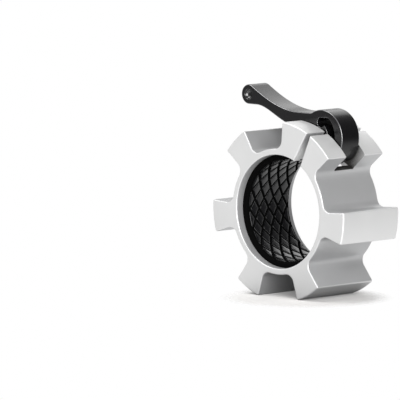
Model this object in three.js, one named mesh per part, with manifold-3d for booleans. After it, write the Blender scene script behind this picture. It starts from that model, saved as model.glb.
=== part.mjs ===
// Quick-release collar for a 50 mm barbell sleeve: an aluminium ring with six lugs, split through one of
// them, a black lever with a cam slot between the two halves of that lug, two hidden steel pins and a
// treaded rubber liner. Lengths are in millimetres and angles in degrees. The bore runs along Y, the
// front face looks along -Y, and angles turn from +X towards +Z as the front is seen.

import * as THREE from 'three';
import { mergeVertices } from 'three/addons/utils/BufferGeometryUtils.js';
import Module from 'manifold-3d';

const wasm = await Module();
wasm.setup();

// The bore over the tread of the liner; every other radius is built outwards from it
const boreRadius = 25.4;

// Pins, pressed in from the back face and ending inside the front wall. The lever's head reaches from
// the pivot pin to the bore, and the ring's lugs reach a little past the pin.
const headReach = 15.4;
const pivotDepth = 4.6;
const pivotRadius = boreRadius + headReach;
const pivotAngle = 69.9;
const pinSpacing = 9.7;
const pinLineAngle = -25;
const pinRadius = 2.25;
const pinGap = 0.15;
const pinChamfer = 0.4;
const pinSetback = 0.6;
const pinFrontWall = 5;

// Ring: five plain lugs and a wider split one, with round-bottomed valleys between them
const ringWidth = 40;
const ringWall = 3.2;
const lipStandback = 3.1;
const lipRadius = boreRadius + lipStandback;
const valleyRadius = lipRadius + ringWall;
const tipRadius = pivotRadius + pivotDepth;
const plainLugs = 5;
const lugSpacing = 55.5;
const lugHalfAngle = 10.46;
const tipRounding = 0.9;
const valleyFillet = 4.5;
const edgeBevel = 0.5;

// Split lug: its gap narrows outwards, and each half reaches to a flank of its own
const splitAngle = 62.25;
const splitGapAtTip = 2.4;
const splitGapAtBore = 5;
const leftFlankAngle = 86.2;
const rightFlankAngle = 39.7;

// Lever head: its circle lies off the pivot, a little short of the head's full reach, and at rest the
// head keeps a margin to the bore
const leverWidth = 12.7;
const leverBevel = 0.6;
const leverClearance = 0.4;
const leverSwing = 45;
const headShortfall = 1.4;
const headRadius = headReach - headShortfall;
const headOffset = 3.45;
const headOffsetAngle = -15.4;
const headRestMargin = 4.2;
const headTrimRadius = boreRadius + headRestMargin;
const heelPull = 5;

// Groove for the lever: how much wider than the lever it is, and the wall between the ring's lips and its
// flat floor in the right half of the lug
const grooveSideClearance = 0.5;
const grooveWidth = leverWidth + 2 * grooveSideClearance;
const grooveWall = 2.9;
const grooveFloor = lipRadius + grooveWall;

// Cam slot round the pivot, with a locking pocket at its top and a relief at its bottom
const slotClearance = 0.2;
const slotTopAngle = 39;
const slotBottomAngle = -74.4;
const hubTopAngle = 48;
const hubBottomAngle = -58;
const pocketRadius = 2.5;
const pocketDistance = 7.2;
const pocketAngle = 68;
const pocketOpeningAngle = 85;
const pocketRampPull = 3.5;
const reliefDistance = 7.1;
const reliefAngle = -75.4;
const reliefStepAngle = 45;

// Handle, measured from the middle of the head; the pulls say how far each curve keeps its first aim,
// and the head's crown stands above the handle's top
const bulbRadius = 4.95;
const bulbReach = 51;
const bulbRise = 18.5;
const bulbTopAngle = 59;
const bulbTopPull = 12;
const crownHeight = 2.2;
const handleTopRise = headRadius - crownHeight;
const handleTopReach = 15.5;
const handleTopPull = 12;
const handleTopFillet = 1.5;
const undersideRise = 3.57;
const undersideReach = 15.2;
const undersideSlope = 7;
const undersidePull = 15;
const undersideSeat = 2.5;
const bulbFlat = 5.5;
const bulbFlatPull = 8.5;
const dimpleRadius = 2.7;
const dimpleFloorRadius = 1.2;
const dimpleDepth = 2.4;

// Rubber liner in its recess between the ring's two lips
const lipWidth = 4.5;
const recessDepth = 0.8;
const seatGap = 0.3;
const linerLeftEnd = 76;
const linerRightEnd = 41;
const linerRunOut = 24.5;
const treadDepth = 0.7;
const treadRowPitch = 5;
const treadColumns = 4;
const treadSideMargin = 1.9;
const treadEndMargin = 2.6;
const treadPadShare = 0.78;

// Smoothness of the round stretches, and how far a cutting solid runs past what it cuts
const facetSag = 0.025;
const overrun = 4;

const origin = new THREE.Vector2();
const rad = THREE.MathUtils.degToRad;
const deg = THREE.MathUtils.radToDeg;

function aim(angle) {
  return new THREE.Vector2(Math.cos(rad(angle)), Math.sin(rad(angle)));
}

function polar(radius, angle, centre = origin) {
  return aim(angle).multiplyScalar(radius).add(centre);
}

function angleOf(point, centre = origin) {
  return deg(Math.atan2(point.y - centre.y, point.x - centre.x));
}

// Points of a round stretch, close enough together that a chord leaves the arc by facetSag at most
function arc(centre, radius, from, to) {
  const step = 2 * deg(Math.acos(1 - facetSag / radius));
  const count = Math.max(2, Math.ceil(Math.abs(to - from) / step));
  return Array.from({ length: count + 1 }, (_, i) => polar(radius, from + (to - from) * i / count, centre));
}

function circle(centre, radius) {
  return arc(centre, radius, 0, 360).slice(1);
}

// Points of a curve that leaves start along one aim and comes to end from another
function bend(start, startAim, startPull, end, endAim, endPull) {
  const leaving = polar(startPull, startAim, start);
  const arriving = polar(endPull, endAim, end);
  const curve = new THREE.CubicBezierCurve(start, leaving, arriving, end);
  return curve.getPoints(Math.ceil(Math.sqrt(curve.getLength() / facetSag) / 2));
}

// A slab along Y, centred on the middle plane, from an outline and holes seen from the front
function slab(outline, width, bevel = 0, holes = []) {
  const shape = new THREE.Shape(outline);
  shape.holes = holes.map((hole) => new THREE.Path(hole));
  const geometry = new THREE.ExtrudeGeometry(shape, {
    depth: width - 2 * bevel,
    bevelEnabled: bevel > 0,
    bevelThickness: bevel,
    bevelSize: bevel,
    bevelOffset: -bevel,
    bevelSegments: 1,
  });
  geometry.translate(0, 0, bevel - width / 2);
  geometry.rotateX(Math.PI / 2);
  return geometry;
}

// A turned solid along Y from half of its section, as [radius, place along Y] pairs, round one centre
function turned(section, centre = origin) {
  const widest = Math.max(...section.map((pair) => pair[0]));
  const sides = circle(origin, widest).length;
  const profile = section.map(([radius, along]) => new THREE.Vector2(radius, along));
  const geometry = new THREE.LatheGeometry(profile, sides);
  geometry.translate(centre.x, 0, centre.y);
  return geometry;
}

function solid(geometry) {
  const bare = geometry.clone();
  bare.deleteAttribute('normal');
  bare.deleteAttribute('uv');
  const merged = mergeVertices(bare);
  return new wasm.Manifold(new wasm.Mesh({
    numProp: 3,
    vertProperties: new Float32Array(merged.attributes.position.array),
    triVerts: new Uint32Array(merged.index.array),
  }));
}

function geometryOf(body) {
  const { vertProperties, triVerts } = body.getMesh();
  const geometry = new THREE.BufferGeometry();
  geometry.setAttribute('position', new THREE.BufferAttribute(new Float32Array(vertProperties), 3));
  geometry.setIndex(new THREE.BufferAttribute(new Uint32Array(triVerts), 1));
  geometry.computeVertexNormals();
  return geometry;
}

// Where the two pins lie, and the middle of the lever's head when the lever is swung up by an angle
const pivot = polar(pivotRadius, pivotAngle);
const camPin = polar(pinSpacing, pinLineAngle, pivot);
const headAt = (swing) => polar(headOffset, headOffsetAngle - swing, pivot);

// A corner of the split: side 1 is on the left half of the lug, side -1 on the right
function splitCorner(side, radius, gap) {
  return polar(radius, splitAngle + side * deg(Math.asin(gap / 2 / radius)));
}

const tipLean = deg(Math.asin(tipRounding / (tipRadius - tipRounding)));
const valleyLean = deg(Math.asin(valleyFillet / (valleyRadius + valleyFillet)));

// The rounded corner between a flank and the tip, met on the way up (side 1) or on the way down (side -1)
function tipCorner(flank, side) {
  const centre = polar(tipRadius - tipRounding, flank + side * tipLean);
  if (side > 0) return arc(centre, tipRounding, flank - 90, flank + tipLean);
  return arc(centre, tipRounding, flank - tipLean, flank + 90);
}

// The valley between the last flank of one lug and the first flank of the next
function valley(lastFlank, nextFlank) {
  const first = polar(valleyRadius + valleyFillet, lastFlank + valleyLean);
  const last = polar(valleyRadius + valleyFillet, nextFlank - valleyLean);
  return [
    ...arc(first, valleyFillet, lastFlank - 90, lastFlank + valleyLean - 180),
    ...arc(origin, valleyRadius, lastFlank + valleyLean, nextFlank - valleyLean).slice(1, -1),
    ...arc(last, valleyFillet, nextFlank - valleyLean + 180, nextFlank + 90),
  ];
}

function lugTip(firstFlank, lastFlank) {
  return [
    ...tipCorner(firstFlank, 1),
    ...arc(origin, tipRadius, firstFlank + tipLean, lastFlank - tipLean).slice(1, -1),
    ...tipCorner(lastFlank, -1),
  ];
}

function ringOutline() {
  const leftTip = splitCorner(1, tipRadius, splitGapAtTip);
  const rightTip = splitCorner(-1, tipRadius, splitGapAtTip);
  const leftBore = splitCorner(1, lipRadius, splitGapAtBore);
  const rightBore = splitCorner(-1, lipRadius, splitGapAtBore);
  const firstLug = splitAngle + 180 - lugSpacing * (plainLugs - 1) / 2;
  const points = [
    ...arc(origin, tipRadius, angleOf(leftTip), leftFlankAngle - tipLean).slice(0, -1),
    ...tipCorner(leftFlankAngle, -1),
  ];
  let flank = leftFlankAngle;
  for (let lug = 0; lug < plainLugs; lug += 1) {
    const middle = firstLug + lug * lugSpacing;
    points.push(...valley(flank, middle - lugHalfAngle));
    points.push(...lugTip(middle - lugHalfAngle, middle + lugHalfAngle));
    flank = middle + lugHalfAngle;
  }
  points.push(...valley(flank, rightFlankAngle + 360));
  points.push(...tipCorner(rightFlankAngle, 1));
  points.push(...arc(origin, tipRadius, rightFlankAngle + tipLean, angleOf(rightTip)).slice(1));
  points.push(...arc(origin, lipRadius, angleOf(rightBore), angleOf(leftBore) - 360));
  return points;
}

// The end of the handle's underside nearest to the head, where the handle rests in the groove
const undersideEnd = headAt(0).add(new THREE.Vector2(-undersideReach, undersideRise));

// Where two circles meet; turn 1 takes the point that lies anticlockwise of the line between their centres
function meeting(first, firstRadius, second, secondRadius, turn) {
  const apart = first.distanceTo(second);
  const along = (apart * apart + firstRadius * firstRadius - secondRadius * secondRadius) / (2 * apart);
  const lean = deg(Math.acos(THREE.MathUtils.clamp(along / firstRadius, -1, 1)));
  return polar(firstRadius, angleOf(second, first) + turn * lean, first);
}

// Points of the lever carried round the pivot by a swing
function swung(points, swing) {
  return points.map((point) => polar(point.distanceTo(pivot), angleOf(point, pivot) - swing, pivot));
}

// An outline moved outwards by a clearance, each point along the middle of its two edges' normals
function grown(outline, clearance) {
  return outline.map((point, i) => {
    const before = outline[(i + outline.length - 1) % outline.length];
    const after = outline[(i + 1) % outline.length];
    const incoming = angleOf(point, before);
    const bendAngle = (angleOf(after, point) - incoming + 540) % 360 - 180;
    return polar(clearance / Math.cos(rad(bendAngle / 2)), incoming + bendAngle / 2 - 90, point);
  });
}

// The round that leads from the handle's top into the head
function rootFillet() {
  const reach = headRadius + handleTopFillet;
  const rise = handleTopRise + handleTopFillet;
  return headAt(0).add(new THREE.Vector2(-Math.sqrt(reach * reach - rise * rise), rise));
}

// The head from the handle's underside round to its top: a cheek beside the hub, an edge round the
// bore, a heel round the pivot, a hollow that fits the sleeve once swung up, and the head's own circle
function headOutline() {
  const head = headAt(0);
  const cheekTop = polar(undersideSeat, -undersideSlope, undersideEnd);
  const trimStart = polar(headTrimRadius, pivotAngle);
  const heelRadius = pivotRadius - boreRadius;
  const heelStart = meeting(pivot, heelRadius, origin, headTrimRadius, 1);
  const heelEnd = pivotAngle - 180 + leverSwing;
  const swungBore = polar(pivotRadius, heelEnd, pivot);
  const headStart = meeting(head, headRadius, swungBore, boreRadius, 1);
  return [
    ...bend(cheekTop, -90, heelPull, trimStart, pivotAngle + 90, heelPull),
    ...arc(origin, headTrimRadius, pivotAngle, angleOf(heelStart)).slice(1, -1),
    ...arc(pivot, heelRadius, angleOf(heelStart, pivot), heelEnd),
    ...arc(swungBore, boreRadius, heelEnd + 180, angleOf(headStart, swungBore)).slice(1, -1),
    ...arc(head, headRadius, angleOf(headStart, head), angleOf(rootFillet(), head)),
  ];
}

function bulbCentre() {
  return headAt(0).add(new THREE.Vector2(-bulbReach, bulbRise));
}

function leverOutline() {
  const head = headAt(0);
  const bulb = bulbCentre();
  const topStart = head.clone().add(new THREE.Vector2(-handleTopReach, handleTopRise));
  const bulbTop = polar(bulbRadius, bulbTopAngle, bulb);
  const bulbBottom = polar(bulbRadius, -90, bulb).add(new THREE.Vector2(bulbFlat, 0));
  return [
    ...headOutline(),
    ...arc(rootFillet(), handleTopFillet, angleOf(head, rootFillet()), -90).slice(1),
    ...bend(topStart, 180, handleTopPull, bulbTop, bulbTopAngle - 90, bulbTopPull),
    ...arc(bulb, bulbRadius, bulbTopAngle, 270).slice(1),
    ...bend(bulbBottom, 0, bulbFlatPull, undersideEnd, 180 - undersideSlope, undersidePull),
  ];
}

// What the swinging head needs, with its clearance, out of the pieces that it dips between
function headSweep() {
  const outline = grown(headOutline(), leverClearance);
  const poses = [0, leverSwing / 3, leverSwing * 2 / 3, leverSwing];
  return poses.map((swing) => slab(swung(outline, swing), grooveWidth));
}

// The milled groove itself, open outwards: the left half's floor lies close under the handle
function groove() {
  const leftFloor = polar(seatGap, -90 - undersideSlope, undersideEnd);
  const leftFar = polar(tipRadius / 2, 180 - undersideSlope, leftFloor);
  const leftNear = polar(undersideReach / 2, -undersideSlope, leftFloor);
  const rightNear = polar(grooveFloor, splitAngle);
  const rightFar = polar(tipRadius, splitAngle - 90, rightNear);
  const rightTop = polar(tipRadius, splitAngle, rightFar);
  const leftTop = polar(tipRadius, splitAngle, leftFar);
  return slab([leftFar, leftNear, rightNear, rightFar, rightTop, leftTop], grooveWidth);
}

function pinSeat(centre) {
  const radius = pinRadius + pinGap;
  const front = pinFrontWall - ringWidth / 2;
  const back = ringWidth / 2 + overrun;
  return turned([[0, front], [radius, front], [radius, back], [0, back]], centre);
}

function clampRing() {
  const recess = lipRadius + recessDepth;
  const side = ringWidth / 2 - lipWidth;
  let ring = solid(slab(ringOutline(), ringWidth, edgeBevel));
  ring = ring.subtract(solid(turned([[0, -side], [recess, -side], [recess, side], [0, side]])));
  for (const cutter of [groove(), ...headSweep()]) ring = ring.subtract(solid(cutter));
  for (const centre of [pivot, camPin]) ring = ring.subtract(solid(pinSeat(centre)));
  return geometryOf(ring);
}

function pin(centre) {
  const front = pinFrontWall - ringWidth / 2 + seatGap;
  const back = ringWidth / 2 - pinSetback;
  const section = [
    [0, front],
    [pinRadius - pinChamfer, front],
    [pinRadius, front + pinChamfer],
    [pinRadius, back - pinChamfer],
    [pinRadius - pinChamfer, back],
    [0, back],
  ];
  return turned(section, centre);
}

function camSlot() {
  const half = pinRadius + slotClearance;
  const inner = pinSpacing - half;
  const outer = pinSpacing + half;
  const pocket = polar(pocketDistance, pocketAngle, pivot);
  const bottom = polar(pinSpacing, slotBottomAngle, pivot);
  const relief = polar(reliefDistance, reliefAngle, pivot);
  const side = angleOf(relief, bottom) + 90 - 360;
  const hubTop = polar(inner, hubTopAngle, pivot);
  const pocketTop = polar(pocketRadius, pocketOpeningAngle, pocket);
  const outerTop = polar(outer, slotTopAngle, pivot);
  return [
    ...arc(pivot, inner, hubBottomAngle, hubTopAngle),
    ...arc(pocket, pocketRadius, angleOf(hubTop, pocket), pocketOpeningAngle - 360).slice(1, -1),
    ...bend(pocketTop, pocketOpeningAngle - 90, pocketRampPull, outerTop, slotTopAngle + 90, pocketRampPull),
    ...arc(pivot, outer, slotTopAngle, slotBottomAngle).slice(1),
    ...arc(bottom, half, slotBottomAngle, side).slice(1),
    ...arc(relief, half, side, reliefStepAngle - 360),
  ];
}

function lever() {
  const bulb = bulbCentre();
  const hubHole = circle(pivot, pinRadius + pinGap);
  let body = solid(slab(leverOutline(), leverWidth, leverBevel, [camSlot(), hubHole]));
  const face = leverWidth / 2;
  const floor = face - dimpleDepth;
  const out = face + overrun;
  const wall = [[dimpleFloorRadius, floor], [dimpleRadius, face], [dimpleRadius, out]];
  const dimple = [[0, floor], ...wall, [0, out]];
  const mirrored = dimple.map(([radius, along]) => [radius, -along]).reverse();
  for (const section of [dimple, mirrored]) body = body.subtract(solid(turned(section, bulb)));
  return geometryOf(body);
}

// The liner is a grid of diamond pads. Rows follow the bore round and columns follow its axis, a pad's
// middle lies where row plus column is even, and the grid's border halves the pads that it meets. Pads
// stand above the lines between them by treadDepth. Row and column -1, and the ones past the last, are
// the liner's own edges. Towards both ends the inner face leaves the circle and runs out straight.
function boreLiner() {
  const outer = lipRadius + recessDepth - seatGap;
  const half = ringWidth / 2 - lipWidth - seatGap;
  const treadHalf = half - treadSideMargin;
  const sweep = linerRightEnd + 360 - linerLeftEnd;
  const endMargin = deg(treadEndMargin / boreRadius);
  const treadSweep = sweep - 2 * endMargin;
  const rows = 2 * Math.round(rad(treadSweep) * boreRadius / treadRowPitch / 2);
  const columns = 2 * treadColumns;
  const turnAt = (row) => {
    if (row < 0) return 0;
    return row > rows ? sweep : endMargin + treadSweep * row / rows;
  };
  const alongAt = (column) => {
    if (column < 0) return -half;
    return column > columns ? half : treadHalf * (2 * column / columns - 1);
  };
  const padRadius = (row) => {
    const fromEnd = Math.min(turnAt(row), sweep - turnAt(row));
    return boreRadius / Math.cos(rad(Math.max(0, linerRunOut - fromEnd)));
  };
  const positions = [];
  const triangles = [];
  const put = (radius, row, column) => {
    const place = polar(radius, linerLeftEnd + turnAt(row));
    positions.push(place.x, alongAt(column), place.y);
    return positions.length / 3 - 1;
  };
  const face = (...corners) => {
    for (let i = 2; i < corners.length; i += 1) triangles.push(corners[0], corners[i - 1], corners[i]);
  };
  const made = new Map();
  const floor = (row, column) => {
    const key = `${row} ${column}`;
    if (!made.has(key)) made.set(key, put(padRadius(row) + treadDepth, row, column));
    return made.get(key);
  };
  const plain = (row, column) => {
    face(floor(row, column), floor(row + 1, column), floor(row + 1, column + 1), floor(row, column + 1));
  };
  const pad = (row, column) => {
    const clipped = [
      [row, Math.max(0, column - 1)],
      [Math.min(rows, row + 1), column],
      [row, Math.min(columns, column + 1)],
      [Math.max(0, row - 1), column],
    ];
    const around = clipped.filter(([r, c], i) => !clipped.slice(0, i).some(([m, n]) => m === r && n === c));
    const middleRow = around.reduce((sum, [r]) => sum + r, 0) / around.length;
    const middleColumn = around.reduce((sum, [, c]) => sum + c, 0) / around.length;
    const base = around.map(([r, c]) => floor(r, c));
    const top = around.map(([r, c]) => {
      const padRow = middleRow + (r - middleRow) * treadPadShare;
      return put(padRadius(padRow), padRow, middleColumn + (c - middleColumn) * treadPadShare);
    });
    face(...top);
    for (let i = 0; i < base.length; i += 1) {
      const next = (i + 1) % base.length;
      face(base[i], base[next], top[next], top[i]);
    }
  };
  const count = (first, last) => Array.from({ length: last - first + 1 }, (_, i) => first + i);
  for (const row of count(0, rows)) {
    for (const column of count(0, columns)) if ((row + column) % 2 === 0) pad(row, column);
  }
  for (const column of count(-1, columns)) for (const row of [-1, rows]) plain(row, column);
  for (const row of count(0, rows - 1)) for (const column of [-1, columns]) plain(row, column);
  const outside = count(-1, rows + 1).map((row) => [put(outer, row, -1), put(outer, row, columns + 1)]);
  for (const row of count(-1, rows)) {
    const [front, back] = outside[row + 1];
    const [nextFront, nextBack] = outside[row + 2];
    face(front, back, nextBack, nextFront);
    face(floor(row + 1, -1), floor(row, -1), front, nextFront);
    face(floor(row, columns + 1), floor(row + 1, columns + 1), nextBack, back);
  }
  const across = (row) => count(-1, columns + 1).map((column) => floor(row, column));
  face(outside[0][0], ...across(-1), outside[0][1]);
  face(outside[rows + 2][0], outside[rows + 2][1], ...across(rows + 1).reverse());
  const geometry = new THREE.BufferGeometry();
  geometry.setAttribute('position', new THREE.BufferAttribute(new Float32Array(positions), 3));
  geometry.setIndex(triangles);
  let liner = solid(geometry);
  for (const cutter of headSweep()) liner = liner.subtract(solid(cutter));
  return geometryOf(liner);
}

const aluminium = new THREE.MeshStandardMaterial({ color: 0xc9cbcc, roughness: 0.38, metalness: 0.9 });
const blackNylon = new THREE.MeshStandardMaterial({ color: 0x141416, roughness: 0.42, metalness: 0 });
const blackRubber = new THREE.MeshStandardMaterial({ color: 0x1b1b1d, roughness: 0.7, metalness: 0 });
const steel = new THREE.MeshStandardMaterial({ color: 0xa9abad, roughness: 0.3, metalness: 1 });

function piece(name, geometry, material) {
  const mesh = new THREE.Mesh(geometry, material.clone());
  mesh.name = name;
  return mesh;
}

const collar = new THREE.Group();
collar.add(piece('clamp_ring', clampRing(), aluminium));
collar.add(piece('lever', lever(), blackNylon));
collar.add(piece('pivot_pin', pin(pivot), steel));
collar.add(piece('cam_pin', pin(camPin), steel));
collar.add(piece('bore_liner', boreLiner(), blackRubber));

// The collar stands on two of its lugs, over the middle of the space that it takes up
const bounds = new THREE.Box3().setFromObject(collar);
collar.position.set(-(bounds.min.x + bounds.max.x) / 2, 0, -bounds.min.z);

const group = new THREE.Group();
group.add(collar);
export default group;
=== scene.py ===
"""The looks of a quick-release barbell collar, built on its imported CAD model. Sizes are in millimetres
until they go into a mesh, angles in degrees. The bore runs along Y and the front face looks along -Y."""

import cmath
import math

import bmesh
import bpy
from mathutils import Matrix, Vector


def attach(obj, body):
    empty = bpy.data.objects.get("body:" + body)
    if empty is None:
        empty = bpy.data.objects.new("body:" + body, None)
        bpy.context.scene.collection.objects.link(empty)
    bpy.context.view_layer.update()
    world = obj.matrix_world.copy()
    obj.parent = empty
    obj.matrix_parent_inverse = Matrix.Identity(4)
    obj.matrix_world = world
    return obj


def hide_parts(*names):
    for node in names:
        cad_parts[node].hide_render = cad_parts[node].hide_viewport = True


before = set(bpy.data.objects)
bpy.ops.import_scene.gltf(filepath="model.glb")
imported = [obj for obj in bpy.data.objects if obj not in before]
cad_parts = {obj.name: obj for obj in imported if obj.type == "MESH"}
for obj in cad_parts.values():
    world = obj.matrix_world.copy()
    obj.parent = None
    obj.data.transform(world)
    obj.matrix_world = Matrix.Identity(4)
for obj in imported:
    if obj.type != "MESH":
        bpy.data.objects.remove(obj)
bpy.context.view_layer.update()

# The clamp ring is sawn off an aluminium extrusion with six lugs, bored, and split through its widest
# lug. A milled groove takes the lever, and two drilled holes take the pins. Every outline below is a
# list of points in the front view, as complex numbers from the bore's axis.
bore_height = 43.1104
ring_width, lip_width = 40, 4.5
tip_radius, valley_radius, lip_radius, recess_depth = 45.4, 31.7, 28.5, 0.8
plain_lugs, lug_spacing, lug_half_angle = 5, 55.5, 10.46
tip_rounding, valley_fillet, edge_rounding = 0.9, 4.5, 0.7
split_angle, gap_at_tip, gap_at_bore = 62.25, 2.4, 5
left_flank, right_flank = 86.2, 39.7
groove_width, groove_floor = 13.7, 31.4
drilling_radius, drilling_bottom = 2.4, -15


def polar(radius, angle, centre=0):
    return centre + cmath.rect(radius, math.radians(angle))


def angle_of(point, centre=0):
    return math.degrees(cmath.phase(point - centre))


def arc(centre, radius, start, end, sag=0.01):
    count = max(2, math.ceil(abs(end - start) / math.degrees(2 * math.acos(1 - sag / radius))))
    return [polar(radius, start + (end - start) * i / count, centre) for i in range(count + 1)]


def tip_corner(flank, side):
    lean = math.degrees(math.asin(tip_rounding / (tip_radius - tip_rounding)))
    centre = polar(tip_radius - tip_rounding, flank + side * lean)
    return arc(centre, tip_rounding, flank - 90, flank + lean)[:-1] if side > 0 else (
        arc(centre, tip_rounding, flank - lean, flank + 90)[1:])


def valley(last, following):
    lean = math.degrees(math.asin(valley_fillet / (valley_radius + valley_fillet)))
    entry = polar(valley_radius + valley_fillet, last + lean)
    leaving = polar(valley_radius + valley_fillet, following - lean)
    return [*arc(entry, valley_fillet, last - 90, last + lean - 180),
            *arc(0, valley_radius, last + lean, following - lean)[1:-1],
            *arc(leaving, valley_fillet, following - lean + 180, following + 90)]


def ring_outline():
    lean = math.degrees(math.asin(tip_rounding / (tip_radius - tip_rounding)))
    tip_half = math.degrees(math.asin(gap_at_tip / 2 / tip_radius))
    bore_half = math.degrees(math.asin(gap_at_bore / 2 / lip_radius))
    points = arc(0, tip_radius, split_angle + tip_half, left_flank - lean) + tip_corner(left_flank, -1)
    flank = left_flank
    for lug in range(plain_lugs):
        middle = split_angle + 180 + lug_spacing * (lug - (plain_lugs - 1) / 2)
        first, last = middle - lug_half_angle, middle + lug_half_angle
        points += valley(flank, first) + tip_corner(first, 1)
        points += arc(0, tip_radius, first + lean, last - lean) + tip_corner(last, -1)
        flank = last
    points += valley(flank, right_flank + 360) + tip_corner(right_flank, 1)
    points += arc(0, tip_radius, right_flank + lean, split_angle - tip_half)
    return points + arc(0, lip_radius, split_angle - bore_half, split_angle + bore_half - 360)


def spot(point, along):
    """The place in the frame, in metres, of a point of the front view and a distance along the bore."""
    return Vector((point.real, along, point.imag + bore_height)) / 1000


def piece(name, mesh):
    shape = bpy.data.meshes.new(name)
    bmesh.ops.recalc_face_normals(mesh, faces=mesh.faces)
    mesh.to_mesh(shape)
    mesh.free()
    made = bpy.data.objects.new(name, shape)
    bpy.context.scene.collection.objects.link(made)
    return made


def inward(loop):
    """For each corner of a closed loop, the way in that moves both of its sides by one millimetre."""
    ways = []
    for i, point in enumerate(loop):
        before, after = point - loop[i - 1], loop[(i + 1) % len(loop)] - point
        turn = cmath.phase(after / before) / 2
        ways.append(1j * before / abs(before) * cmath.exp(1j * turn) / math.cos(turn))
    return ways


def bridge(mesh, rings):
    """Faces from each closed ring of corners to the next one."""
    for ring, following in zip(rings, rings[1:]):
        for i in range(len(ring)):
            mesh.faces.new((ring[i - 1], ring[i], following[i], following[i - 1]))


def slab(name, loops, width, steps=4):
    """A plate along Y from closed loops, each with the radius that rounds its edges. The material lies
    to the left of a loop, so the outline runs anticlockwise and a hole clockwise."""
    mesh = bmesh.new()
    rims = ([], [])
    for loop, rounding in loops:
        ways = inward(loop)
        rings = []
        for side in (-1, 1):
            for step in range(steps + 1 if rounding else 1)[::-side]:
                turn = math.radians(90 * step / steps) if rounding else 0
                inset = rounding * (1 - math.sin(turn))
                along = side * (width / 2 - rounding + rounding * math.cos(turn))
                rings.append([mesh.verts.new(spot(point + way * inset, along))
                              for point, way in zip(loop, ways)])
        bridge(mesh, rings)
        for rim, ring in zip(rims, (rings[0], rings[-1])):
            rim += [mesh.edges.get((ring[i - 1], ring[i])) for i in range(len(ring))]
    for rim in rims:
        bmesh.ops.triangle_fill(mesh, use_beauty=True, use_dissolve=False, edges=rim)
    return piece(name, mesh)


def turned(name, section, centre=0, sides=96):
    """A turned solid along Y from half of its section, as pairs of radius and distance along Y. Its
    ends lie on the axis."""
    mesh = bmesh.new()
    rings = []
    for radius, along in section:
        around = [polar(radius, 360 * i / sides, centre) for i in range(sides)] if radius else [centre]
        rings.append([mesh.verts.new(spot(point, along)) for point in around])
    for ring, following in zip(rings, rings[1:]):
        for i in range(sides):
            corners = [ring[i % len(ring)], ring[(i + 1) % len(ring)],
                       following[(i + 1) % len(following)], following[i % len(following)]]
            mesh.faces.new(dict.fromkeys(corners))
    return piece(name, mesh)


def cut(body, *cutters):
    """Takes the cutters out of a body, one after the other."""
    for cutter in cutters:
        change = body.modifiers.new("cut", "BOOLEAN")
        change.object, change.operation, change.solver = cutter, "DIFFERENCE", "EXACT"
        evaluated = body.evaluated_get(bpy.context.evaluated_depsgraph_get())
        shape = bpy.data.meshes.new_from_object(evaluated)
        body.modifiers.clear()
        body.data = shape
        bpy.data.objects.remove(cutter)


def dress(body, material, sharp=32, weld=2e-7):
    """Welds a piece's seams and closes its hair-thin slits, shades it smooth but for edges sharper than
    an angle, and gives it its material."""
    mesh = bmesh.new()
    mesh.from_mesh(body.data)
    bmesh.ops.remove_doubles(mesh, verts=mesh.verts, dist=weld)
    bmesh.ops.holes_fill(mesh, edges=[edge for edge in mesh.edges if edge.is_boundary])
    for face in mesh.faces:
        face.smooth = True
    for edge in mesh.edges:
        edge.smooth = edge.is_manifold and edge.calc_face_angle(0) < math.radians(sharp)
    mesh.to_mesh(body.data)
    mesh.free()
    weighted = body.modifiers.new("even shading", "WEIGHTED_NORMAL")
    weighted.keep_sharp = True
    body.data.materials.clear()
    body.data.materials.append(material)


# The lever's outline comes here because the groove in the ring has to leave room for its head, which
# dips towards the bore while it swings about the pivot pin.
lever_swing, lever_clearance, swing_steps = 45, 0.4, 3
pivot, cam_radius = polar(40.8, 69.9), 9.7
cam_pin = polar(cam_radius, -25, pivot)
head_radius, head_trim = 14, 29.6
head = polar(3.45, -15.4, pivot)
sleeve_radius = 25.4
underside_end = head + complex(-15.2, 3.57)
underside_slope, underside_seat = 7, 2.5
root_fillet = 1.5
handle_top = 11.8


def bend(start, start_aim, start_pull, end, end_aim, end_pull, steps=24):
    """A smooth curve that leaves each of its ends at an angle, as straight for as long as its pull."""
    near, far = polar(start_pull, start_aim, start), polar(end_pull, end_aim, end)
    curve = []
    for i in range(steps + 1):
        t = i / steps
        u = 1 - t
        curve.append(u ** 3 * start + 3 * u ** 2 * t * near + 3 * u * t * t * far + t ** 3 * end)
    return curve


def meeting(first, first_radius, second, second_radius):
    """Where two circles cross, on the left of the way from the first centre to the second."""
    apart = abs(second - first)
    along = (apart ** 2 + first_radius ** 2 - second_radius ** 2) / 2 / apart
    return polar(first_radius, angle_of(second, first) + math.degrees(math.acos(along / first_radius)), first)


def root_centre():
    reach, rise = head_radius + root_fillet, handle_top + root_fillet
    return head + complex(-math.sqrt(reach ** 2 - rise ** 2), rise)


def head_outline():
    """The head from the handle's underside round to its top, clear of the sleeve however far it swings."""
    cheek = polar(underside_seat, -underside_slope, underside_end)
    heel_radius = abs(pivot) - sleeve_radius
    heel_start = meeting(pivot, heel_radius, 0, head_trim)
    heel_end = angle_of(pivot) - 180 + lever_swing
    swung_bore = polar(abs(pivot), heel_end, pivot)
    head_start = meeting(head, head_radius, swung_bore, sleeve_radius)
    return [*bend(cheek, -90, 5, polar(head_trim, angle_of(pivot)), angle_of(pivot) + 90, 5),
            *arc(0, head_trim, angle_of(pivot), angle_of(heel_start))[1:-1],
            *arc(pivot, heel_radius, angle_of(heel_start, pivot), heel_end),
            *arc(swung_bore, sleeve_radius, heel_end + 180, angle_of(head_start, swung_bore))[1:-1],
            *arc(head, head_radius, angle_of(head_start, head), angle_of(root_centre(), head))]


def grown(loop, clearance):
    """A closed loop with all of its sides moved outwards."""
    return [point - way * clearance for point, way in zip(loop, inward(loop))]


def swung(loop, swing):
    return [pivot + (point - pivot) * cmath.rect(1, math.radians(-swing)) for point in loop]


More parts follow.
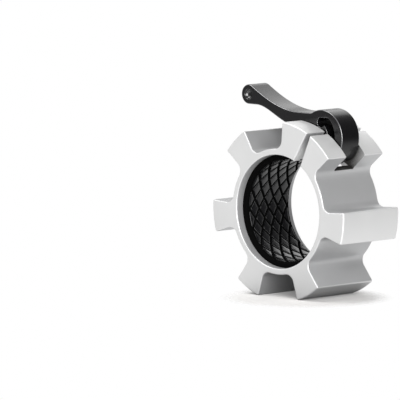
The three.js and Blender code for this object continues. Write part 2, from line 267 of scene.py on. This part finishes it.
def groove(rest_gap=0.3, rest_length=7.6):
    """A cutter for the groove between the two ears, where the lever rests."""
    near = polar(rest_gap, -90 - underside_slope, underside_end)
    far = polar(tip_radius / 2, 180 - underside_slope, near)
    floor = polar(groove_floor, split_angle)
    side = polar(tip_radius, split_angle - 90, floor)
    outline = [far, polar(rest_length, -underside_slope, near), floor, side,
               polar(tip_radius, split_angle, side), polar(tip_radius, split_angle, far)]
    return slab("groove", [(outline, 0)], groove_width)


def head_sweep():
    """Cutters for the room that the head needs while the lever swings."""
    room = grown(head_outline(), lever_clearance)
    swings = [swung(room, lever_swing * step / swing_steps) for step in range(swing_steps + 1)]
    return [slab("sweep", [(loop, 0)], groove_width) for loop in swings]


clamp_ring = slab("clamp_ring_body", [(ring_outline(), edge_rounding)], ring_width)
recess_half, recess_radius = ring_width / 2 - lip_width, lip_radius + recess_depth
recess = [(0, -recess_half), (recess_radius, -recess_half), (recess_radius, recess_half), (0, recess_half)]
cut(clamp_ring, turned("recess", recess, sides=360), groove(), *head_sweep())
drilling_top = ring_width / 2 + 4
drilling = [(0, drilling_bottom), (drilling_radius, drilling_bottom), (drilling_radius, drilling_top),
            (0, drilling_top)]
for centre in (pivot, cam_pin):
    cut(clamp_ring, turned("drilling", drilling, centre))


class Wire:
    """The output of a shader node. Sums and products of wires add the Math nodes that work them out."""

    def __init__(self, tree, socket=None):
        self.tree, self.socket = tree, socket

    def node(self, kind, settings=None, inputs=None, output=0):
        made = self.tree.nodes.new("ShaderNode" + kind)
        for name, value in (settings or {}).items():
            setattr(made, name, value)
        for name, value in (inputs or {}).items():
            if isinstance(value, Wire):
                self.tree.links.new(value.socket, made.inputs[name])
            else:
                made.inputs[name].default_value = value
        return Wire(self.tree, made.outputs[output]) if len(made.outputs) else None

    def maths(self, operation, *values):
        return self.node("Math", {"operation": operation}, dict(enumerate(values)))

    def unsigned(self):
        return self.maths("ABSOLUTE", self)

    def larger(self, other):
        return self.maths("MAXIMUM", self, other)

    def __add__(self, other):
        return self.maths("ADD", self, other)

    def __sub__(self, other):
        return self.maths("SUBTRACT", self, other)

    def __rsub__(self, other):
        return self.maths("SUBTRACT", other, self)

    def __mul__(self, other):
        return self.maths("MULTIPLY", self, other)

    __radd__, __rmul__ = __add__, __mul__

    def within(self, low, high):
        """0 where the wire is at most low, 1 where it is at least high, and a smooth rise between."""
        settings = {"interpolation_type": "SMOOTHSTEP"}
        return self.node("MapRange", settings, {"Value": self, "From Min": low, "From Max": high})

    def past(self, low, high):
        """As within, for a wire that holds a length, with both limits in millimetres."""
        return self.within(low / 1000, high / 1000)

    def mix(self, first, second):
        """A colour between two, by a wire from 0 to 1."""
        inputs = {0: self, 6: first, 7: second}
        return self.node("Mix", {"data_type": "RGBA"}, inputs, 2)

    def blend(self, first, second):
        """A surface between two, by a wire from 0 to 1."""
        return self.node("MixShader", {}, {0: self, 1: first, 2: second})

    def vector(self, operation, other, output="Vector"):
        return self.node("VectorMath", {"operation": operation}, {0: self, 1: other}, output)

    def dot(self, other):
        return self.vector("DOT_PRODUCT", other, "Value")

    def length(self):
        return self.node("VectorMath", {"operation": "LENGTH"}, {0: self}, "Value")


def finish(name):
    """A new material, as itself, the start of its wires and its object coordinates."""
    material = bpy.data.materials.new(name)
    material.use_nodes = True
    material.node_tree.nodes.clear()
    start = Wire(material.node_tree)
    return material, start, start.node("TexCoord", output="Object")


def show(start, surface):
    start.node("OutputMaterial", {}, {"Surface": surface})


def noise(start, place, size, detail=2.0):
    """Noise from 0 to 1 whose spots are about size millimetres across."""
    return start.node("TexNoise", {}, {"Vector": place, "Scale": 500 / size, "Detail": detail})


def open_to_light(start, reach):
    """From 0 deep inside a slot to 1 on an open face, by what stands within a reach."""
    return start.node("AmbientOcclusion", {"samples": 8}, {"Distance": reach / 1000}, "AO")


def rounded_edges(start, radius):
    """The normal of a surface whose edges are softened over a radius."""
    return start.node("Bevel", {"samples": 6}, {"Radius": radius / 1000})


def across(start):
    """How far a face looks along the bore, from 0 on an extruded face to 1 on a front or back face."""
    return start.node("NewGeometry", output="Normal").dot((0, 1, 0)).unsigned()


def off_axis(place, centre=0):
    """The way out to a place from a line along the bore through a point of the front view."""
    return place.vector("SUBTRACT", spot(centre, 0)).vector("MULTIPLY", (1, 0, 1))


aluminium, start, place = finish("bead_blasted_aluminium")
rounded = rounded_edges(start, 0.35)
edge = (1 - rounded.dot(start.node("NewGeometry", output="Normal"))).within(0.02, 0.25)
cloud = noise(start, place, 9)
grain = noise(start, place, 0.35, 3)
from_axis = off_axis(place)
split = polar(1, split_angle)
rise = from_axis.dot((split.real, 0, split.imag))
aside = from_axis.dot((split.imag, 0, -split.real)).unsigned()
along = start.node("SeparateXYZ", {}, {"Vector": place}, "Y").unsigned()
in_groove = rise.past(groove_floor - 0.5, groove_floor - 0.1) * (
    1 - along.past(groove_width / 2 + 0.05, groove_width / 2 + 0.35))
# The sawn walls of the split take the bright tone near the bore. From 33 to 42 mm out it fades back to the
# darker tone, which is painted shade in the narrow top of the slit.
in_split = rise.past(lip_radius - 1.5, lip_radius - 0.5) * (1 - rise.past(33, 42)) * (
    1 - aside.past(gap_at_bore / 2, gap_at_bore / 2 + 0.2))
on_tips = from_axis.length().past(tip_radius - 0.6, tip_radius - 0.2)
bright = across(start).within(0.6, 0.8).larger(in_split + on_tips)
colour = cloud.mix((0.46, 0.462, 0.467, 1), (0.53, 0.532, 0.536, 1))
colour = bright.mix(colour, cloud.mix((0.7, 0.701, 0.7, 1), (0.75, 0.751, 0.75, 1)))
# Painted highlight: the rounded edges are painted pale, as the light lines that catch along them.
colour = (edge * 0.7).mix(colour, (0.9, 0.9, 0.9, 1))
# Painted shade: inside the groove the colour goes towards black where the lever and the ears keep light out.
shaded = in_groove * (1 - open_to_light(start, 12).within(0.35, 1))
colour = shaded.mix(colour, (0.04, 0.038, 0.036, 1))
relief = start.node("Bump", {}, {"Strength": 0.25, "Distance": 0.00004, "Height": grain, "Normal": rounded})
show(start, start.node("BsdfPrincipled", {}, {
    "Base Color": colour, "Metallic": 0.65, "Normal": relief,
    "Roughness": 0.46 + cloud * 0.06 + bright * 0.06 - edge * 0.2}))
dress(clamp_ring, aluminium)
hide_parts("clamp_ring")
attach(clamp_ring, "ring")

# The lever is one moulding of black glass-filled nylon: a flat handle with a round end, and a head with
# the hole for the pivot pin and the curved slot that slides over the cam pin and locks in its pocket.
lever_width, lever_rounding, hole_rounding = 12.7, 0.6, 0.25
bulb_radius, bulb_top_angle = 4.95, 59
bulb = head + complex(-51, 18.5)
slot_half, slot_top, slot_bottom, hub_hole_radius = 2.45, 39, -74.4, 2.4
dimple_radius, dimple_rounding = 2.5, 0.3


def lever_outline():
    top_start = head + complex(-15.5, handle_top)
    bulb_top = polar(bulb_radius, bulb_top_angle, bulb)
    bulb_bottom = bulb + complex(5.5, -bulb_radius)
    return [*head_outline(),
            *arc(root_centre(), root_fillet, angle_of(head, root_centre()), -90)[1:],
            *bend(top_start, 180, 12, bulb_top, bulb_top_angle - 90, 12, 40),
            *arc(bulb, bulb_radius, bulb_top_angle, 270)[1:],
            *bend(bulb_bottom, 0, 8.5, underside_end, 180 - underside_slope, 15, 40)]


def cam_slot(hub_top=48, pocket_end=85):
    """The slot, clockwise from the relief at its bottom up along the hub, round the pocket and back."""
    inner, outer = cam_radius - slot_half, cam_radius + slot_half
    pocket, pocket_radius = polar(7.2, 68, pivot), 2.5
    bottom, relief_end = polar(cam_radius, slot_bottom, pivot), polar(7.1, -75.4, pivot)
    side = angle_of(relief_end, bottom) + 90 - 360
    pocket_start = angle_of(polar(inner, hub_top, pivot), pocket)
    pocket_top = polar(pocket_radius, pocket_end, pocket)
    return [*arc(pivot, inner, -58, hub_top),
            *arc(pocket, pocket_radius, pocket_start, pocket_end - 360)[1:-1],
            *bend(pocket_top, pocket_end - 90, 3.5, polar(outer, slot_top, pivot), slot_top + 90, 3.5),
            *arc(pivot, outer, slot_top, slot_bottom)[1:],
            *arc(bottom, slot_half, slot_bottom, side)[1:],
            *arc(relief_end, slot_half, side, 45 - 360)]


def dimple():
    """Half of a dimple's section, from the bottom of its bowl over its rounded rim to the outside."""
    face, rim_radius = lever_width / 2, dimple_radius + dimple_rounding
    rim = arc(complex(rim_radius, face - dimple_rounding), dimple_rounding, 180, 90)
    bowl = [(0, 1.9), (0.8, 1.82), (1.5, 1.55), (2.1, 1.05)]
    return [*((radius, face - depth) for radius, depth in bowl), *((point.real, point.imag) for point in rim),
            (rim_radius, face + 1), (0, face + 1)]


hub_hole = arc(pivot, hub_hole_radius, 360, 0)[:-1]
lever = slab("lever_moulding", [(lever_outline(), lever_rounding), (cam_slot(), hole_rounding),
                                (hub_hole, hole_rounding)], lever_width)
for side in (-1, 1):
    cut(lever, turned("dimple", [(radius, side * along) for radius, along in dimple()], bulb, 48))


def painted_shade_black(start):
    """A hardly shining black, used as painted shade deep in slots, holes and grooves."""
    return start.node("BsdfPrincipled", {}, {
        "Base Color": (0.002, 0.002, 0.002, 1), "Roughness": 0.9, "IOR": 1.1})


nylon, start, place = finish("black_nylon")
rounded = rounded_edges(start, 0.3)
edge = across(start).within(0.15, 0.4) * (1 - across(start).within(0.85, 0.97))
outside_dimple = off_axis(place, bulb).length().past(dimple_radius + 0.5, dimple_radius + 0.9)
cloud = noise(start, place, 6)
grain = noise(start, place, 0.3, 3)
colour = cloud.mix((0.0015, 0.0014, 0.0018, 1), (0.003, 0.0028, 0.0034, 1))
# Painted highlight: the rounded edges, apart from the dimple's, are painted a lighter grey.
colour = (edge * outside_dimple * 0.8).mix(colour, (0.1, 0.099, 0.103, 1))
relief = start.node("Bump", {}, {"Strength": 0.15, "Distance": 0.00005, "Height": grain, "Normal": rounded})
satin = start.node("BsdfPrincipled", {}, {
    "Base Color": colour, "Roughness": 0.2 + cloud * 0.06, "IOR": 1.43, "Coat Weight": edge,
    "Coat IOR": 1.8, "Coat Roughness": 0.2, "Normal": relief})
# Painted shade: deep in the slot, the pivot hole and the dimples, the nylon turns into the hardly shining
# black.
show(start, open_to_light(start, 8).within(0.15, 0.55).blend(painted_shade_black(start), satin))
dress(lever, nylon)
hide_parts("lever")
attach(lever, "lever")

# Two ground steel dowels, pressed in from the back face. The first is the lever's pivot, the second
# runs in the lever's slot.
pin_radius, pin_chamfer, pin_front, pin_back = 2.25, 0.4, -14.7, 19.4

steel, start, place = finish("ground_steel")
rings = start.node("TexWave", {"wave_type": "RINGS", "rings_direction": "Y"},
                   {"Vector": place, "Scale": 900.0, "Distortion": 1.0, "Detail": 2.0})
cloud = noise(start, place, 3)
show(start, start.node("BsdfPrincipled", {}, {
    "Base Color": cloud.mix((0.5, 0.5, 0.51, 1), (0.6, 0.6, 0.6, 1)), "Metallic": 1.0,
    "Roughness": 0.26 + rings * 0.1}))
for name, centre in (("pivot_pin", pivot), ("cam_pin", cam_pin)):
    dowel = turned(name + "_dowel", [
        (0, pin_front), (pin_radius - pin_chamfer, pin_front), (pin_radius, pin_front + pin_chamfer),
        (pin_radius, pin_back - pin_chamfer), (pin_radius - pin_chamfer, pin_back), (0, pin_back)], centre)
    dress(dowel, steel)
    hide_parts(name)
    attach(dowel, "ring")

# The bore liner is a moulded rubber strip that sits between the ring's two lips and ends short of the
# split. Its inner face is unrolled here into millimetres along the bore and round it from the left end,
# and carries staggered rows of diamond pads that grip the sleeve.
liner_outer, liner_half, thinnest = 29, 15.2, 0.2
liner_left, liner_right, run_out = 76, 41, 24.5
corner, corner_bevel = 0.5, 0.15
tread_depth, tread_rows, tread_columns = 0.7, 28, 8
side_margin, end_margin, side_trim = 1.9, 2.6, 0.3
pad_profile = ((0.45, tread_depth + 0.1), (0.52, 0.35), (0.64, 0.2), (0.9, 0.1), (1.35, 0.04))
liner_length = math.radians(liner_right + 360 - liner_left) * sleeve_radius


def liner_spot(point, depth):
    """A point of the unrolled face, at a depth under the pads. Both ends run out straight."""
    angle = liner_left + math.degrees(point.imag / sleeve_radius)
    from_end = min(angle - liner_left, liner_right + 360 - angle)
    radius = sleeve_radius / math.cos(math.radians(max(0, run_out - from_end)))
    return spot(polar(min(radius + depth, liner_outer - thinnest), angle), point.real)


def liner_strip(mesh, steps=112):
    """The strip under the pads, from its left end round the bore to its right end."""
    section = [(-liner_half, corner), (corner_bevel - liner_half, corner_bevel), (corner - liner_half, 0)]
    section += [(-along, drop) for along, drop in reversed(section)]
    rings = []
    for i in range(steps + 1):
        around = 1j * liner_length * i / steps
        ring = [mesh.verts.new(liner_spot(along + around, tread_depth + drop)) for along, drop in section]
        for along in (liner_half, -liner_half):
            angle = liner_left + math.degrees(around.imag / sleeve_radius)
            ring.append(mesh.verts.new(spot(polar(liner_outer, angle), along)))
        rings.append(ring)
    bridge(mesh, rings)
    mesh.faces.new(rings[0])
    mesh.faces.new(rings[-1])


def pad(mesh, row, column):
    """A diamond round the middle of a row and column. The grid's ends halve it, its sides only trim it."""
    corners = []
    for r, c in ((row, column - 1), (row - 1, column), (row, column + 1), (row + 1, column)):
        r = min(max(r, 0), tread_rows)
        above, below = min(r + 1 - side_trim, tread_rows), max(r - 1 + side_trim, 0)
        if c < 0:
            corners += [(above, -side_trim), (below, -side_trim)]
        elif c > tread_columns:
            corners += [(below, tread_columns + side_trim), (above, tread_columns + side_trim)]
        else:
            corners.append((r, c))
    corners = [complex((liner_half - side_margin) * (2 * c / tread_columns - 1),
                       end_margin + (liner_length - 2 * end_margin) * r / tread_rows)
               for r, c in dict.fromkeys(corners)]
    middle = sum(corners) / len(corners)
    rings = []
    for inset, depth in pad_profile:
        loop = grown(corners, -inset)
        sides = zip(loop, loop[1:] + loop[:1])
        rings.append([(start + (end - start) * k / 4, depth) for start, end in sides for k in range(4)])
    rings.append([(middle + (point - middle) / 2, 0) for point, depth in rings[-1]])
    made = [[mesh.verts.new(liner_spot(point, depth)) for point, depth in ring] for ring in rings]
    bridge(mesh, made)
    top = mesh.verts.new(liner_spot(middle, 0))
    for i in range(len(made[-1])):
        mesh.faces.new((made[-1][i - 1], made[-1][i], top))
    mesh.faces.new(made[0])


strip_mesh = bmesh.new()
liner_strip(strip_mesh)
strip = piece("strip", strip_mesh)
cut(strip, *head_sweep())
liner_mesh = bmesh.new()
liner_mesh.from_mesh(strip.data)
bpy.data.objects.remove(strip)
for row in range(tread_rows + 1):
    for column in range(row % 2, tread_columns + 1, 2):
        pad(liner_mesh, row, column)
bore_liner = piece("bore_liner_rubber", liner_mesh)

rubber, start, place = finish("black_rubber")
cloud = noise(start, place, 5)
grain = noise(start, place, 0.25, 3)
radius = off_axis(place).length()
top = 1 - radius.past(sleeve_radius, sleeve_radius + 0.8)
colour = cloud.mix((0.002, 0.002, 0.0026, 1), (0.004, 0.004, 0.005, 1))
# Painted shade: below the pads' tops the rubber is painted darker.
colour = top.mix((0.002, 0.002, 0.002, 1), colour)
relief = start.node("Bump", {}, {"Strength": 0.3, "Distance": 0.00006, "Height": grain})
pads = start.node("BsdfPrincipled", {}, {
    "Base Color": colour, "Roughness": 0.21 + cloud * 0.08, "IOR": 1.48, "Normal": relief})
# Painted shade: more than a few tenths of a millimetre under the pads' tops, in the grooves and on the strip,
# the rubber turns into the hardly shining black.
show(start, radius.past(sleeve_radius + 0.1, sleeve_radius + 0.4).blend(pads, painted_shade_black(start)))
dress(bore_liner, rubber)
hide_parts("bore_liner")
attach(bore_liner, "ring")

# A white table under the collar. It keeps the soft shadow, is lifted to white for the camera, and fades
# into the white of the room.
table_mesh = bmesh.new()
bmesh.ops.create_circle(table_mesh, cap_ends=True, radius=0.5, segments=96)
table = piece("table", table_mesh)
white, start, place = finish("white_table")
from_feet = place.vector("SUBTRACT", (0.009, -0.009, 0)).length()
seen = start.node("LightPath", output="Is Camera Ray")
# Only camera rays see the table's pale colour. The light that it bounces onto the collar comes off dark grey,
# as painted shade under the feet.
painted = start.node("BsdfDiffuse", {}, {"Color": seen.mix((0.12, 0.12, 0.12, 1), (0.64, 0.63, 0.62, 1))})
lifted = start.node("Emission", {}, {"Strength": seen * 0.115})
shadowed = start.node("AddShader", {}, {0: painted, 1: lifted})
show(start, from_feet.past(29, 45).blend(shadowed, start.node("BsdfTransparent")))
table.data.materials.append(white)

# A room with a white wall behind the collar, to the left of it, a white floor far below and softer light
# all round. The camera and clear things see white everywhere, polished things see the wall and the floor.
world = bpy.data.worlds.new("white_room")
world.use_nodes = True
world.node_tree.nodes.clear()
bpy.context.scene.world = world
start = Wire(world.node_tree)
towards = start.node("TexCoord")
height = start.node("SeparateXYZ", {}, {"Vector": towards}, "Z")
below = 0 - height
left = towards.dot((-1, 0, 0))
behind = towards.dot((-0.71, 0.71, 0))
wall = behind.within(0.1, 0.6) * (1 - height.within(0.1, 0.6))
bright = wall.larger(below.within(0.1, 0.5))
level = 0.12 + left.within(-0.6, 0.4) * 0.34 + below.within(0, 0.5) * 0.4
seen = start.node("LightPath", output="Is Camera Ray")
polished = start.node("LightPath", output="Is Glossy Ray")
through = start.node("LightPath", output="Is Transmission Ray")
shown = seen.larger((polished * bright).larger(through))
light = start.node("Background", {}, {"Color": (1, 1, 1, 1), "Strength": level + shown * (1 - level)})
start.node("OutputWorld", {}, {"Surface": light})


def lamp(name, place, aim, size, power):
    data = bpy.data.lights.new(name, "AREA")
    data.shape, data.size, data.energy = "DISK", size, power
    made = bpy.data.objects.new(name, data)
    made.location = place
    made.rotation_euler = (Vector(aim) - Vector(place)).to_track_quat("-Z", "Y").to_euler()
    bpy.context.scene.collection.objects.link(made)


lamp("key", (-0.5, -0.6, 1.4), (0, 0, 0.04), 1.1, 14.5)
lamp("fill", (1.15, -0.8, 0.4), (0, 0, 0.04), 1.5, 36)
lamp("back", (-0.6, 1.2, 0.95), (0, 0, 0.06), 0.9, 3)

# The camera looks at the collar as the photograph does, from its right and a little above, with a long
# lens. The collar stands to the right of the middle of the picture.
view_azimuth, view_elevation, view_distance = 44.83, 6.27, 2.9718
to_the_right, downwards = 0.0527, -0.0044
picture_size, focal_length = 400, 5930
camera_data = bpy.data.cameras.new("camera")
camera_data.lens = camera_data.sensor_width * focal_length / picture_size
camera_data.clip_end = 20
camera = bpy.data.objects.new("camera", camera_data)
turn = Matrix.Rotation(math.radians(view_azimuth), 3, "Z")
turn @= Matrix.Rotation(math.radians(90 - view_elevation), 3, "X")
camera.location = spot(0, 0) + turn @ Vector((-to_the_right, -downwards, view_distance))
camera.rotation_euler = turn.to_euler()
bpy.context.scene.collection.objects.link(camera)
bpy.context.scene.camera = camera
bpy.context.scene.view_settings.view_transform = "Standard"
